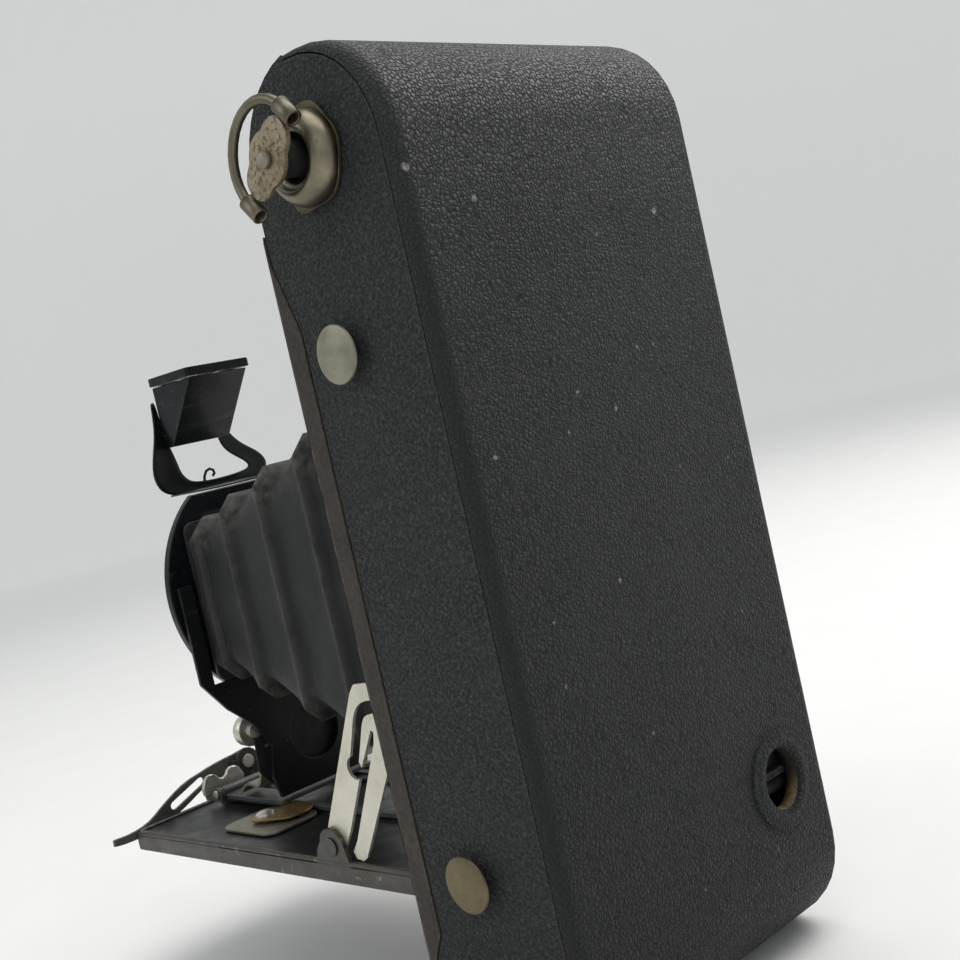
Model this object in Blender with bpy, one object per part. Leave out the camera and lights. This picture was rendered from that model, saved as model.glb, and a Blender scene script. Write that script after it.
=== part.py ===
"""Folding roll-film camera, lowered bed and extended bellows, modelled in metres with +Z up.

Frame: the lens looks along -Y, the back cover is at +Y, the winding key is on +X.
Origin: centre of the width, on the flat of the lower end that the camera stands on (z = 0).
All numbers in this file are millimetres; MM turns them into metres.
"""

import math

import bmesh
import bpy
from mathutils import Matrix, Vector

MM = 0.001

# ---------------------------------------------------------------- driving dimensions (mm)
HALF_W = 44.0  # half the width of the body
HEIGHT = 210.0  # length of the body
END_R = 22.0  # radius of the rounded ends, seen from the side
END_Y = -2.3  # centre line of the rounded ends
BACK_Y = 19.7  # flat outer face of the back cover
FLAT_Y = -4.2  # middle of the flat strip of the lower end, where the part's origin goes
OPEN_X = 39.3  # half width of the front opening
OPEN_Z0, OPEN_Z1 = 41.0, 168.0
GATE_X, GATE_Z0, GATE_Z1 = 32.0, 51.0, 159.0  # 64 x 108 picture
SPOOL_Y, SPOOL_Z0, SPOOL_Z1 = -4.0, 21.0, 189.0
HINGE = (-27.0, 38.6)  # bed hinge (y, z)
FOOT = (-141.0, 44.0)  # hinge of the standard on its slide (y, z)
STRUT = (-60.0, 43.6)  # lower pivots of the struts (y, z)
LENS_Z = 102.5
DISC_R = 33.0
LEG = (-1.0, 47.0)  # pivot of the stand leg (x, z)
FINDER_Z = 145.0

PIVOTS = {
    "case": (0, 0, 0),
    "back": (0, BACK_Y, 105),
    "latch": (-HALF_W, 6, 120),
    "bed_button": (-HALF_W, -11, 170.5),
    "key": (HALF_W, SPOOL_Y, SPOOL_Z1),
    "bail": (54.6, SPOOL_Y + 0.3, SPOOL_Z1),
    "supply": (0, SPOOL_Y, SPOOL_Z0),
    "pin_a": (-HALF_W, SPOOL_Y, SPOOL_Z1),
    "pin_b": (-HALF_W, SPOOL_Y, SPOOL_Z0),
    "pin_c": (HALF_W, SPOOL_Y, SPOOL_Z0),
    "roller_top": (0, 13.2, 177.6),
    "roller_low": (0, 13.2, 36.9),
    "hinge": (0, HINGE[0], HINGE[1]),
    "bed": (0, HINGE[0], HINGE[1]),
    "catch": (23.0, -110.0, 40.8),
    "leg": (LEG[0], -153.6, LEG[1]),
    "strut_l": (36.7, STRUT[0], STRUT[1]),
    "strut_r": (-36.7, STRUT[0], STRUT[1]),
    "carriage": (0, FOOT[0], FOOT[1]),
    "foot_pin": (0, FOOT[0], FOOT[1]),
    "base": (0, FOOT[0], FOOT[1]),
    "standard": (0, -113.0, LENS_Z),
    "clamp": (17.5, -117.0, 63.4),
    "finder": (0, -139.0, FINDER_Z),
    "release": (-15.5, -121.0, LENS_Z + 17.0),
    "aperture": (0, -127.0, LENS_Z - 15.0),
    "speed": (0, -127.0, LENS_Z + 15.0),
}

# ---------------------------------------------------------------- scene, materials, empties
for old in list(bpy.data.objects):
    bpy.data.objects.remove(old, do_unlink=True)


def material(name, colour, rough, metal=0.0, alpha=1.0):
    m = bpy.data.materials.new(name)
    m.use_nodes = True
    s = m.node_tree.nodes["Principled BSDF"]
    s.inputs["Base Color"].default_value = (*colour, 1.0)
    s.inputs["Roughness"].default_value = rough
    s.inputs["Metallic"].default_value = metal
    s.inputs["Alpha"].default_value = alpha
    m.diffuse_color = (*colour, 1.0)
    return m


LEATHER = material("black_leather", (0.012, 0.013, 0.014), 0.55)
CLOTH = material("black_cloth", (0.015, 0.016, 0.018), 0.65)
BROWN = material("worn_frame", (0.06, 0.042, 0.032), 0.5, 0.6)
ENAMEL = material("black_enamel", (0.01, 0.011, 0.013), 0.3)
GREY = material("grey_enamel", (0.09, 0.09, 0.09), 0.45)
NICKEL = material("nickel", (0.62, 0.59, 0.52), 0.32, 1.0)
TARNISH = material("tarnished_nickel", (0.33, 0.3, 0.23), 0.42, 1.0)
BRASS = material("brass", (0.42, 0.31, 0.13), 0.42, 1.0)
BELLOWS = material("bellows_leather", (0.012, 0.013, 0.015), 0.6)
GLASS = material("glass", (0.8, 0.86, 0.9), 0.03, 0.0, 0.35)
MIRROR = material("mirror", (0.9, 0.9, 0.9), 0.03, 1.0)
BLACKED = material("blackened_metal", (0.02, 0.02, 0.02), 0.6, 0.3)

EMPTIES = {}
for key, at in PIVOTS.items():
    e = bpy.data.objects.new("axis_" + key, None)
    bpy.context.scene.collection.objects.link(e)
    e.empty_display_size = 0.004
    EMPTIES[key] = e
CHILD_OF = {
    "back": "case", "latch": "case", "bed_button": "case", "key": "case", "bail": "key",
    "supply": "case", "pin_a": "case", "pin_b": "case", "pin_c": "case",
    "roller_top": "case", "roller_low": "case", "hinge": "case", "bed": "hinge", "catch": "bed", "leg": "bed",
    "strut_l": "bed", "strut_r": "bed", "carriage": "bed", "foot_pin": "carriage", "base": "foot_pin",
    "standard": "base", "clamp": "standard", "finder": "standard", "release": "standard",
    "aperture": "standard", "speed": "standard",
}
for key, at in PIVOTS.items():
    parent = CHILD_OF.get(key)
    base = Vector(PIVOTS[parent]) if parent else Vector((0, 0, 0))
    EMPTIES[key].parent = EMPTIES[parent] if parent else None
    EMPTIES[key].location = (Vector(at) - base) * MM


# ---------------------------------------------------------------- shape helpers (all in mm, world)
def arc(cx, cy, r, a0, a1, n):
    return [
        (cx + r * math.cos(math.radians(a0 + (a1 - a0) * i / n)),
         cy + r * math.sin(math.radians(a0 + (a1 - a0) * i / n)))
        for i in range(n + 1)
    ]


def circle(cx, cy, r, n=24, ry=None):
    ry = ry or r
    return [(cx + r * math.cos(2 * math.pi * i / n), cy + ry * math.sin(2 * math.pi * i / n)) for i in range(n)]


def rrect(x0, x1, y0, y1, r, n=3):
    return (arc(x1 - r, y1 - r, r, 0, 90, n) + arc(x0 + r, y1 - r, r, 90, 180, n)
            + arc(x0 + r, y0 + r, r, 180, 270, n) + arc(x1 - r, y0 + r, r, 270, 360, n))


def capsule(x0, y0, x1, y1, r, n=5):
    a = math.degrees(math.atan2(y1 - y0, x1 - x0))
    return arc(x1, y1, r, a - 90, a + 90, n) + arc(x0, y0, r, a + 90, a + 270, n)


def ribbon(points, widths):
    """Outline of a strip of varying width around a polyline."""
    left, right = [], []
    for i, p in enumerate(points):
        a = Vector(points[max(i - 1, 0)])
        b = Vector(points[min(i + 1, len(points) - 1)])
        d = (b - a).normalized()
        n = Vector((-d.y, d.x)) * (widths[i] if hasattr(widths, "__len__") else widths) / 2
        left.append(tuple(Vector(p) + n))
        right.append(tuple(Vector(p) - n))
    return left + right[::-1]


def smooth_path(points, per=4):
    """Points along a Catmull-Rom curve through the given ones."""
    out = []
    for i in range(len(points) - 1):
        p0 = Vector(points[max(i - 1, 0)])
        p1, p2 = Vector(points[i]), Vector(points[i + 1])
        p3 = Vector(points[min(i + 2, len(points) - 1)])
        for k in range(per):
            t = k / per
            out.append(tuple(0.5 * ((2 * p1) + (p2 - p0) * t + (2 * p0 - 5 * p1 + 4 * p2 - p3) * t * t
                                    + (3 * p1 - p0 - 3 * p2 + p3) * t ** 3)))
    return out + [tuple(points[-1])]


PLANES = {
    "YZ": lambda u, v, w: (w, u, v),  # extruded along X
    "XZ": lambda u, v, w: (u, w, v),  # extruded along Y
    "XY": lambda u, v, w: (u, v, w),  # extruded along Z
}


def finish(bm, name, body, mat, cutter=False):
    bmesh.ops.remove_doubles(bm, verts=bm.verts, dist=1e-4)
    bmesh.ops.recalc_face_normals(bm, faces=bm.faces)
    pivot = Vector(PIVOTS[body]) if body else Vector((0, 0, 0))
    bm.transform(Matrix.Scale(MM, 4) @ Matrix.Translation(-pivot))
    mesh = bpy.data.meshes.new(name)
    bm.to_mesh(mesh)
    bm.free()
    if not cutter:
        mesh.shade_smooth()
        mesh.set_sharp_from_angle(angle=math.radians(32))
        mesh.materials.append(mat)
    obj = bpy.data.objects.new(name, mesh)
    bpy.context.scene.collection.objects.link(obj)
    if body:
        obj.parent = EMPTIES[body]
    if cutter:
        obj.hide_render = True
        obj.display_type = "WIRE"
    return obj


def prism(name, loops, plane, a, b, body=None, mat=None, cutter=False):
    """A flat outline, with any holes, extruded from a to b across its plane."""
    if not isinstance(loops[0][0], (tuple, list)):
        loops = [loops]
    bm = bmesh.new()
    put = PLANES[plane]
    edges = []
    for loop in loops:
        vs = [bm.verts.new(put(u, v, a)) for u, v in loop]
        edges += [bm.edges.new((vs[i], vs[(i + 1) % len(vs)])) for i in range(len(vs))]
    if len(loops) == 1:
        bm.faces.new(list(bm.verts))
    else:
        bmesh.ops.triangle_fill(bm, use_beauty=True, use_dissolve=False, edges=edges)
    out = bmesh.ops.extrude_face_region(bm, geom=bm.faces[:])
    moved = [g for g in out["geom"] if isinstance(g, bmesh.types.BMVert)]
    bmesh.ops.translate(bm, verts=moved, vec=Vector(put(0, 0, b - a)))
    return finish(bm, name, body, mat, cutter)


def box(name, x0, x1, y0, y1, z0, z1, body=None, mat=None, cutter=False):
    return prism(name, [(x0, y0), (x1, y0), (x1, y1), (x0, y1)], "XY", z0, z1, body, mat, cutter)


def turned(name, profile, axis, centre, n, body=None, mat=None, cutter=False, ring=False):
    """A profile of (radius, height) turned about an axis; heights are world coordinates on that axis."""
    unit = {"X": Vector((1, 0, 0)), "Y": Vector((0, 1, 0)), "Z": Vector((0, 0, 1))}[axis]
    side = {"X": Vector((0, 0, 1)), "Y": Vector((0, 0, 1)), "Z": Vector((1, 0, 0))}[axis]
    c = Vector(centre)
    c = c - unit * c.dot(unit)
    bm = bmesh.new()
    vs = [bm.verts.new(c + side * r + unit * h) for r, h in profile]
    es = [bm.edges.new((vs[i], vs[i + 1])) for i in range(len(vs) - 1)]
    if ring:
        es.append(bm.edges.new((vs[-1], vs[0])))
    bmesh.ops.spin(bm, geom=vs + es, cent=c, axis=unit, dvec=(0, 0, 0), angle=2 * math.pi, steps=n, use_merge=True)
    return finish(bm, name, body, mat, cutter)


def loft(name, rings, body, mat, caps=True, closed=False):
    bm = bmesh.new()
    rows = [[bm.verts.new(p) for p in ring] for ring in rings]
    m = len(rows[0])
    pairs = list(zip(rows, rows[1:])) + ([(rows[-1], rows[0])] if closed else [])
    for lo, hi in pairs:
        for i in range(m):
            bm.faces.new((lo[i], lo[(i + 1) % m], hi[(i + 1) % m], hi[i]))
    if caps and not closed:
        bm.faces.new(rows[0])
        bm.faces.new(rows[-1])
    return finish(bm, name, body, mat)


def tube(name, points, r, body, mat, res=3):
    pivot = Vector(PIVOTS[body])
    data = bpy.data.curves.new(name, "CURVE")
    data.dimensions = "3D"
    data.bevel_depth = r * MM
    data.bevel_resolution = res
    data.use_fill_caps = True
    data.twist_mode = "MINIMUM"
    s = data.splines.new("POLY")
    s.points.add(len(points) - 1)
    for q, p in zip(s.points, points):
        q.co = (*((Vector(p) - pivot) * MM), 1.0)
        q.radius = 1.0
    data.materials.append(mat)
    obj = bpy.data.objects.new(name, data)
    bpy.context.scene.collection.objects.link(obj)
    obj.parent = EMPTIES[body]
    return obj


def join(obj, tools, op="DIFFERENCE"):
    for tool in tools:
        m = obj.modifiers.new(op.lower(), "BOOLEAN")
        m.operation = op
        m.solver = "EXACT"
        m.object = tool
    return obj


def cutter_cyl(name, axis, centre, r, a, b, n=20):
    return turned(name, [(0, a), (r, a), (r, b), (0, b)], axis, centre, n, cutter=True)


def up(z):
    return HEIGHT - z


# ---------------------------------------------------------------- case
front = (arc(END_Y, END_R, END_R, 259.5, 181, 9)
         + [(-19.4, 30.4), (-19.4, 157.5), (-23.9, 171.7), (-24.3, 177.0)]
         + arc(END_Y, HEIGHT - END_R, END_R, 180, 100.5, 9))
rear_top = [(-6.3, 208.3)] + arc(-4.6, 187.6, 20.7, 90, 0, 9)
rear = rear_top + [(y, up(z)) for y, z in rear_top[::-1]]
case_body = prism("case_body", front + rear, "YZ", -HALF_W, HALF_W, "case", CLOTH)
chamber_top = [(-17.8, 175.0)] + arc(END_Y, 188.0, 20.0, 141, 101, 6) + [(-6.1, 235), (40, 235), (40, 175.0)]
chamber_low = [(-17.8, 39.5)] + [(y, up(z)) for y, z in arc(END_Y, 188.0, 20.0, 141, 101, 6)] + [(-6.1, -25), (40, -25), (40, 39.5)]
join(case_body, [
    box("cut_middle", -OPEN_X, OPEN_X, -17.7, 30, OPEN_Z0, 173.5, cutter=True),
    box("cut_front", -OPEN_X, OPEN_X, -40, -17, OPEN_Z0, OPEN_Z1, cutter=True),
    prism("cut_chamber_top", chamber_top, "YZ", -42, 42, cutter=True),
    prism("cut_chamber_low", chamber_low, "YZ", -42, 42, cutter=True),
    cutter_cyl("cut_key", "X", (0, SPOOL_Y, SPOOL_Z1), 4.2, 38, 50),
    cutter_cyl("cut_pin_a", "X", (0, SPOOL_Y, SPOOL_Z1), 2.2, -50, -38, 12),
    cutter_cyl("cut_pin_b", "X", (0, SPOOL_Y, SPOOL_Z0), 2.2, -50, -38, 12),
    cutter_cyl("cut_pin_c", "X", (0, SPOOL_Y, SPOOL_Z0), 2.2, 38, 50, 12),
    cutter_cyl("cut_button", "X", (0, -11, 170.5), 4.5, -50, -40.9, 20),
])
# The pins that guide the tops of the struts stand on the inner walls, just short of the strut plates.
join(case_body, [
    prism("pin_left", circle(-18.25, 77.0, 1.0, 12), "YZ", 37.5, 40.2, cutter=True),
    prism("pin_right", circle(-18.25, 77.0, 1.0, 12), "YZ", -40.2, -37.5, cutter=True),
], "UNION")

frame_side = [(-25.0, 20.4), (-24.75, 21.2), (-19.7, 30.3), (-19.7, 157.8), (-24.2, 172.0), (-24.62, 177.3), (-25.0, 178.6)]
front_frame = prism("front_frame", frame_side, "YZ", -HALF_W - 0.3, HALF_W + 0.3, "case", BROWN)
join(front_frame, [prism("cut_frame", rrect(-OPEN_X, OPEN_X, OPEN_Z0, OPEN_Z1, 2.0), "XZ", -40, -10, cutter=True)])

gate = prism("film_gate", [rrect(-39.0, 39.0, 41.3, 173.2, 0.8, 1), rrect(-GATE_X, GATE_X, GATE_Z0, GATE_Z1, 1.0, 1)[::-1]],
             "XZ", 12.6, 14.0, "case", BLACKED)
for key, name in (("roller_top", "film_roller_upper"), ("roller_low", "film_roller_lower")):
    _, y, z = PIVOTS[key]
    turned(name, [(0, -41), (1.1, -41), (1.1, -38), (1.9, -37.6), (1.9, 37.6), (1.1, 38), (1.1, 41), (0, 41)],
           "X", (0, y, z), 10, key, NICKEL)

for name, y, z, mat in (("strap_stud_upper", -6.8, 151.1, NICKEL), ("strap_stud_lower", -4.5, 43.7, BRASS)):
    turned(name, [(0, 44.3), (2.1, 44.3), (2.1, 46.2), (5.7, 46.2), (6.0, 46.5), (5.85, 46.9),
                  (4.0, 47.32), (0, 47.45)], "X", (0, y, z), 28, "case", mat)

# Winder: a pressed flange with four ears, and a turned collar round the shaft.
ears = []
for i in range(48):
    a = 360 * i / 48
    ears.append(9.7 + 1.15 * max(0.0, math.cos(math.radians(2 * (a - 62)))) ** 5 + 0.35 * math.sin(math.radians(5 * a + 20)))
flange = prism("winder_flange", [[(SPOOL_Y + r * math.cos(math.radians(360 * i / 48)), SPOOL_Z1 + r * math.sin(math.radians(360 * i / 48))) for i, r in enumerate(ears)],
                                 circle(SPOOL_Y, SPOOL_Z1, 4.4, 24)[::-1]], "YZ", 44.3, 45.0, "case", TARNISH)
turned("winder_collar", [(5.2, 45.3), (8.9, 45.3), (9.35, 46.1), (9.45, 47.2), (8.8, 49.1), (7.7, 49.75), (6.6, 49.3),
                         (5.9, 47.6), (5.2, 46.6)], "X", (0, SPOOL_Y, SPOOL_Z1), 32, "case", TARNISH, ring=True)

# ---------------------------------------------------------------- back cover
ty = [(-6.0, 210.0)] + arc(END_Y, 188.0, 22.0, 90, 0, 9)
tiy = [(-6.0, 208.6)] + arc(-4.6, 187.6, 21.0, 90, 0, 9)
out_pts = ty + [(y, up(z)) for y, z in ty[::-1]]
in_pts = tiy + [(y, up(z)) for y, z in tiy[::-1]]
rings = []
for x, k in ((-44, .84), (-43.75, .52), (-43.1, .24), (-42.2, .07), (-41.0, 0), (41.0, 0), (42.2, .07), (43.1, .24), (43.75, .52), (44, .84)):
    o = [(x, a[0] + (b[0] - a[0]) * k, a[1] + (b[1] - a[1]) * k) for a, b in zip(out_pts, in_pts)]
    rings.append(o + [(x, b[0], b[1]) for b in in_pts[::-1]])
back_cover = loft("back_cover", rings, "back", LEATHER)
WIN = (-27.7, 40.1)
join(back_cover, [
    prism("cut_window", circle(*WIN, 5.9, 24, 6.9), "XZ", 10, 30, cutter=True),
    prism("cut_window_seat", circle(*WIN, 10.5, 32), "XZ", 18.5, 30, cutter=True),
])
prism("window_ring", [circle(*WIN, 10.15, 32), circle(*WIN, 6.0, 32, 7.0)[::-1]], "XZ", 18.8, 19.85, "back", LEATHER)
latch = prism("back_latch", rrect(2.5, 9.5, 113.0, 127.0, 2.0), "YZ", -45.6, -44.35, "latch", NICKEL)
join(latch, [prism("latch_grip", rrect(4.0, 8.0, 118.0, 122.0, 1.0, 2), "YZ", -46.8, -45.2, cutter=True)], "UNION")
turned("bed_button", [(0, -42.7), (3.9, -42.7), (3.9, -45.6), (3.2, -46.2), (0, -46.35)], "X", (0, -11, 170.5), 24, "bed_button", NICKEL)

# ---------------------------------------------------------------- winding key, spools, pins
turned("key_shaft", [(0, 33.5), (1.9, 33.5), (1.9, 38.0), (3.6, 38.0), (3.6, 52.6), (2.6, 52.6), (2.6, 53.6), (0, 53.6)],
       "X", (0, SPOOL_Y, SPOOL_Z1), 24, "key", BLACKED)
KA = 40.6  # direction of the plate's long axis, from +Y towards +Z
cy, cz = SPOOL_Y + 0.3, SPOOL_Z1


def in_key(pts):
    c, s = math.cos(math.radians(KA)), math.sin(math.radians(KA))
    return [(cy + c * u - s * v, cz + s * u + c * v) for u, v in pts]


plate_out = []
for i in range(44):
    a = 2 * math.pi * i / 44
    r = 5.5 + 3.1 * max(0.0, abs(math.cos(a)) - 0.62) / 0.38 - 0.5 * math.exp(-((abs(abs(math.cos(a)) - 0.74)) / 0.12) ** 2)
    plate_out.append((r * math.cos(a), r * math.sin(a)))
key_plate = prism("key_plate", [in_key(plate_out), in_key(circle(0, 0, 0.9, 12))[::-1]], "YZ", 53.9, 55.0, "key", TARNISH)
turned("key_rivet", [(0, 53.75), (0.6, 53.75), (0.6, 55.3), (1.75, 55.3), (1.7, 55.9), (1.2, 56.35), (0, 56.5)], "X", (0, cy, cz), 20, "key", NICKEL)
R = 10.7
bail_uv = [(R, -1.5)] + [(R * math.cos(math.radians(a)), 0.8 + 10.2 * math.sin(math.radians(a))) for a in range(0, 181, 12)] + [(-R, -1.5)]
tube("key_bail", [(54.6, y, z) for y, z in in_key(bail_uv)], 1.0, "bail", TARNISH, 3)

def spool(name, body, z):
    bore_r, core, fl = 2.35, 4.6, 12.2
    prof = [(0, -32.0), (bore_r, -32.0), (bore_r, -36.3), (fl, -36.3), (fl, -35.5), (core, -35.3), (core, 35.3), (fl, 35.5), (fl, 36.3),
            (bore_r, 36.3), (bore_r, 32.0), (0, 32.0)]
    return turned(name, prof, "X", (0, SPOOL_Y, z), 18, body, BLACKED)


spool("takeup_spool", "key", SPOOL_Z1)
spool("supply_spool", "supply", SPOOL_Z0)
for key, side, z, name in (("pin_a", -1, SPOOL_Z1, "spool_pin_upper"), ("pin_b", -1, SPOOL_Z0, "spool_pin_lower_right"),
                           ("pin_c", 1, SPOOL_Z0, "spool_pin_lower_left")):
    turned(name, [(0, side * 33.2), (1.7, side * 33.2), (1.7, side * 44.4), (4.6, side * 44.4), (4.8, side * 45.0), (4.8, side * 46.6),
                  (4.2, side * 47.1), (0, side * 47.2)], "X", (0, SPOOL_Y, z), 20, key, NICKEL)

# ---------------------------------------------------------------- bed
TIP = -152.8
tray = prism("bed_tray", [(-38.5, 35.0), (-37.4, 35.0), (-37.4, 38.3), (37.4, 38.3), (37.4, 35.0), (38.5, 35.0), (38.5, 39.1),
                          (38.0, 39.6), (-38.0, 39.6), (-38.5, 39.1)], "XZ", TIP, -28.4, "bed", ENAMEL)
tab_out = [(-7.5, 38.6), (7.5, 38.6), (6.0, 42.0), (4.2, 48.6)] + arc(-1.0, 47.0, 4.0, 20, 160, 6) + [(-6.2, 44.5)]
join(tray, [
    prism("tray_lip", rrect(-38.5, 38.5, 35.0, 39.6, 0.6, 1), "XZ", TIP, TIP + 1.0, cutter=True),
    prism("tray_tab", tab_out, "XZ", TIP, TIP + 1.0, cutter=True),
    prism("tray_ear_l", [(-67.5, 38.6), (-54.0, 38.6), (-55.5, 44.5)] + arc(STRUT[0], STRUT[1], 4.4, 12, 168, 6) + [(-66.0, 42.5)], "YZ", 37.35, 38.45, cutter=True),
    prism("tray_ear_r", [(-67.5, 38.6), (-54.0, 38.6), (-55.5, 44.5)] + arc(STRUT[0], STRUT[1], 4.4, 12, 168, 6) + [(-66.0, 42.5)], "YZ", -38.45, -37.35, cutter=True),
], "UNION")
join(tray, [
    cutter_cyl("cut_ear", "X", (0, STRUT[0], STRUT[1]), 1.8, -45, 45, 14),
    cutter_cyl("cut_tab", "Y", (LEG[0], 0, LEG[1]), 1.35, -160, -150, 12),
])
turned("bed_hinge_pin", [(0, -38.4), (1.0, -38.4), (1.0, 38.4), (0, 38.4)], "X", (0, HINGE[0], HINGE[1]), 12, "hinge", NICKEL)
prism("bed_leather", rrect(-37.0, 37.0, TIP + 1.6, -29.0, 2.5, 3), "XY", 35.6, 37.95, "bed", LEATHER)
tb = [(3.3, 35.25), (3.3, 34.5), (7.0, 34.5), (7.4, 34.8), (7.4, 35.25)]
turned("tripod_bush", tb, "Z", (0, -92, 0), 28, "bed", NICKEL, ring=True)
for s, name in ((1, "bed_rail_left"), (-1, "bed_rail_right")):
    prism(name, [(s * 9.0, 39.95), (s * 12.4, 39.95), (s * 12.4, 41.3), (s * 11.6, 41.3), (s * 11.2, 40.7), (s * 9.0, 40.7)], "XZ", -149.5, -33.0, "bed", NICKEL)
prism("focus_scale", rrect(-33.0, -19.0, -128.0, -94.0, 1.5, 2), "XY", 39.95, 40.6, "bed", NICKEL)
prism("catch_plate", [rrect(13.8, 31.0, -121.0, -97.0, 4.0, 4), circle(23.0, -110.0, 1.5, 12)[::-1]], "XY", 39.95, 40.6, "bed", TARNISH)
turned("catch_rivet", [(0, 39.95), (1.2, 39.95), (1.2, 42.05), (2.6, 42.05), (2.5, 42.7), (1.6, 43.2), (0, 43.35)], "Z", (23.0, -110.0, 0), 20, "bed", NICKEL)
lobe = [circle(23.0, -110.0, 1.5, 12)[::-1]]
lever = smooth_path([(19.6, -107.2), (20.0, -112.8), (24.5, -119.5), (31.0, -124.5), (34.0, -121.0), (32.0, -113.5), (27.5, -107.0), (23.0, -104.6)], 3)
prism("focus_catch", [lever] + lobe, "XY", 40.95, 41.75, "catch", BRASS)
for s, name in ((1, "strut_rivet_left"), (-1, "strut_rivet_right")):
    turned(name, [(0, s * 35.3), (1.6, s * 35.35), (2.7, s * 35.7), (2.7, s * 35.95), (1.45, s * 35.95), (1.45, s * 38.6), (2.3, s * 38.75), (2.0, s * 39.1), (0, s * 39.15)],
           "X", (0, STRUT[0], STRUT[1]), 20, "bed", NICKEL)

# stand leg on the tip of the bed
leg_mid = smooth_path([(-4.4, 46.6), (0.0, 47.2), (9.0, 47.3), (17.5, 45.6), (25.5, 42.4), (33.0, 39.6), (40.0, 38.9), (45.3, 39.2)], 3)
leg_w = [5.2, 6.6, 7.2, 6.6, 5.6, 5.0, 4.6, 4.5, 4.6, 5.2, 5.6, 5.6, 5.3, 4.8, 4.0, 3.3, 2.8, 2.4, 2.2, 2.1, 2.0, 1.8]
leg = prism("stand_leg", [ribbon(leg_mid, leg_w), circle(LEG[0], LEG[1], 1.35, 12)[::-1],
                          capsule(15.0, 46.35, 25.0, 42.65, 1.15, 4)[::-1]], "XZ", -154.1, -153.1, "leg", GREY)
turned("leg_rivet", [(0, -151.4), (2.0, -151.4), (2.0, -151.7), (1.05, -151.7), (1.05, -154.4), (2.1, -154.4), (1.9, -154.8), (0, -155.1)],
       "Y", (LEG[0], 0, LEG[1]), 18, "bed", NICKEL)

# ---------------------------------------------------------------- struts
slot = ribbon(smooth_path([(-17.1, 77.0), (-24.6, 77.1), (-32.0, 77.0), (-37.6, 76.4), (-40.4, 74.2), (-42.8, 69.5), (-45.5, 64.0)], 3), 3.0)
strut_shape = [(-15.9, 81.2), (-16.9, 82.2), (-36.0, 82.2), (-39.4, 81.9), (-41.3, 80.0)] + arc(STRUT[0], STRUT[1], 3.55, 160, 290, 8) + [(-57.6, 41.0),
               (-56.2, 43.4), (-52.9, 47.6), (-43.4, 62.6), (-36.9, 71.6), (-36.0, 71.2), (-36.9, 68.5), (-51.3, 45.2), (-53.6, 42.6), (-52.9, 41.0),
               (-50.6, 40.5), (-49.0, 41.4), (-31.5, 66.0), (-22.0, 70.8), (-16.9, 71.6), (-15.9, 72.6)]
for key, x0, x1, name in (("strut_l", 36.3, 37.1, "strut_left"), ("strut_r", -37.1, -36.3, "strut_right")):
    s = prism(name, [strut_shape, circle(STRUT[0], STRUT[1], 1.85, 14)[::-1]], "YZ", x0, x1, key, NICKEL)
    join(s, [prism("cut_slot_" + name, slot, "YZ", x0 - 2, x1 + 2, cutter=True),
             prism("cut_bulb_" + name, circle(-45.9, 62.6, 2.7, 16), "YZ", x0 - 2, x1 + 2, cutter=True)])

# ---------------------------------------------------------------- slide, standard
foot = prism("slide_plate", rrect(-17.6, 17.6, -149.0, -143.2, 1.2, 2), "XY", 41.75, 43.1, "carriage", GREY)
ear = [(-144.0, 41.75), (-139.6, 41.75), (-139.2, 43.4)] + arc(FOOT[0], FOOT[1], 1.75, 10, 150, 5) + [(-144.0, 43.6)]
join(foot, [prism("ear_a", ear, "YZ", 16.4, 17.6, cutter=True), prism("ear_b", ear, "YZ", -17.6, -16.4, cutter=True)], "UNION")
join(foot, [cutter_cyl("cut_slide_ears", "X", (0, FOOT[0], FOOT[1]), 0.9, -20, 20, 10)])
handle = ([(5.2, 43.4), (5.0, 45.6)] + arc(8.2, 46.2, 2.7, 170, 20, 5) + [(12.0, 46.6)] + arc(15.8, 46.2, 2.7, 160, 10, 5) + [(19.0, 45.6), (18.8, 43.4)])
prism("slide_handle", handle, "XZ", -146.9, -145.5, "carriage", NICKEL)

turned("standard_hinge_pin", [(0, -18.3), (1.15, -18.3), (1.15, -17.8), (0.6, -17.8), (0.6, 17.8), (1.15, 17.8), (1.15, 18.3), (0, 18.3)], "X", (0, FOOT[0], FOOT[1]), 10, "foot_pin", NICKEL)
plate = prism("standard_base", [rrect(-16.0, 16.0, -141.0, -111.2, 0.6, 1), rrect(-9.0, 9.0, -134.5, -119.0, 3.5, 4)[::-1]], "XY", 42.2, 43.35, "base", GREY)
join(plate, [turned("knuckle", [(0, -16.0), (1.5, -16.0), (1.5, 16.0), (0, 16.0)], "X", (0, FOOT[0], FOOT[1]), 14, cutter=True)], "UNION")
join(plate, [cutter_cyl("cut_knuckle", "X", (0, FOOT[0], FOOT[1]), 0.9, -20, 20, 10)])

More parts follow.
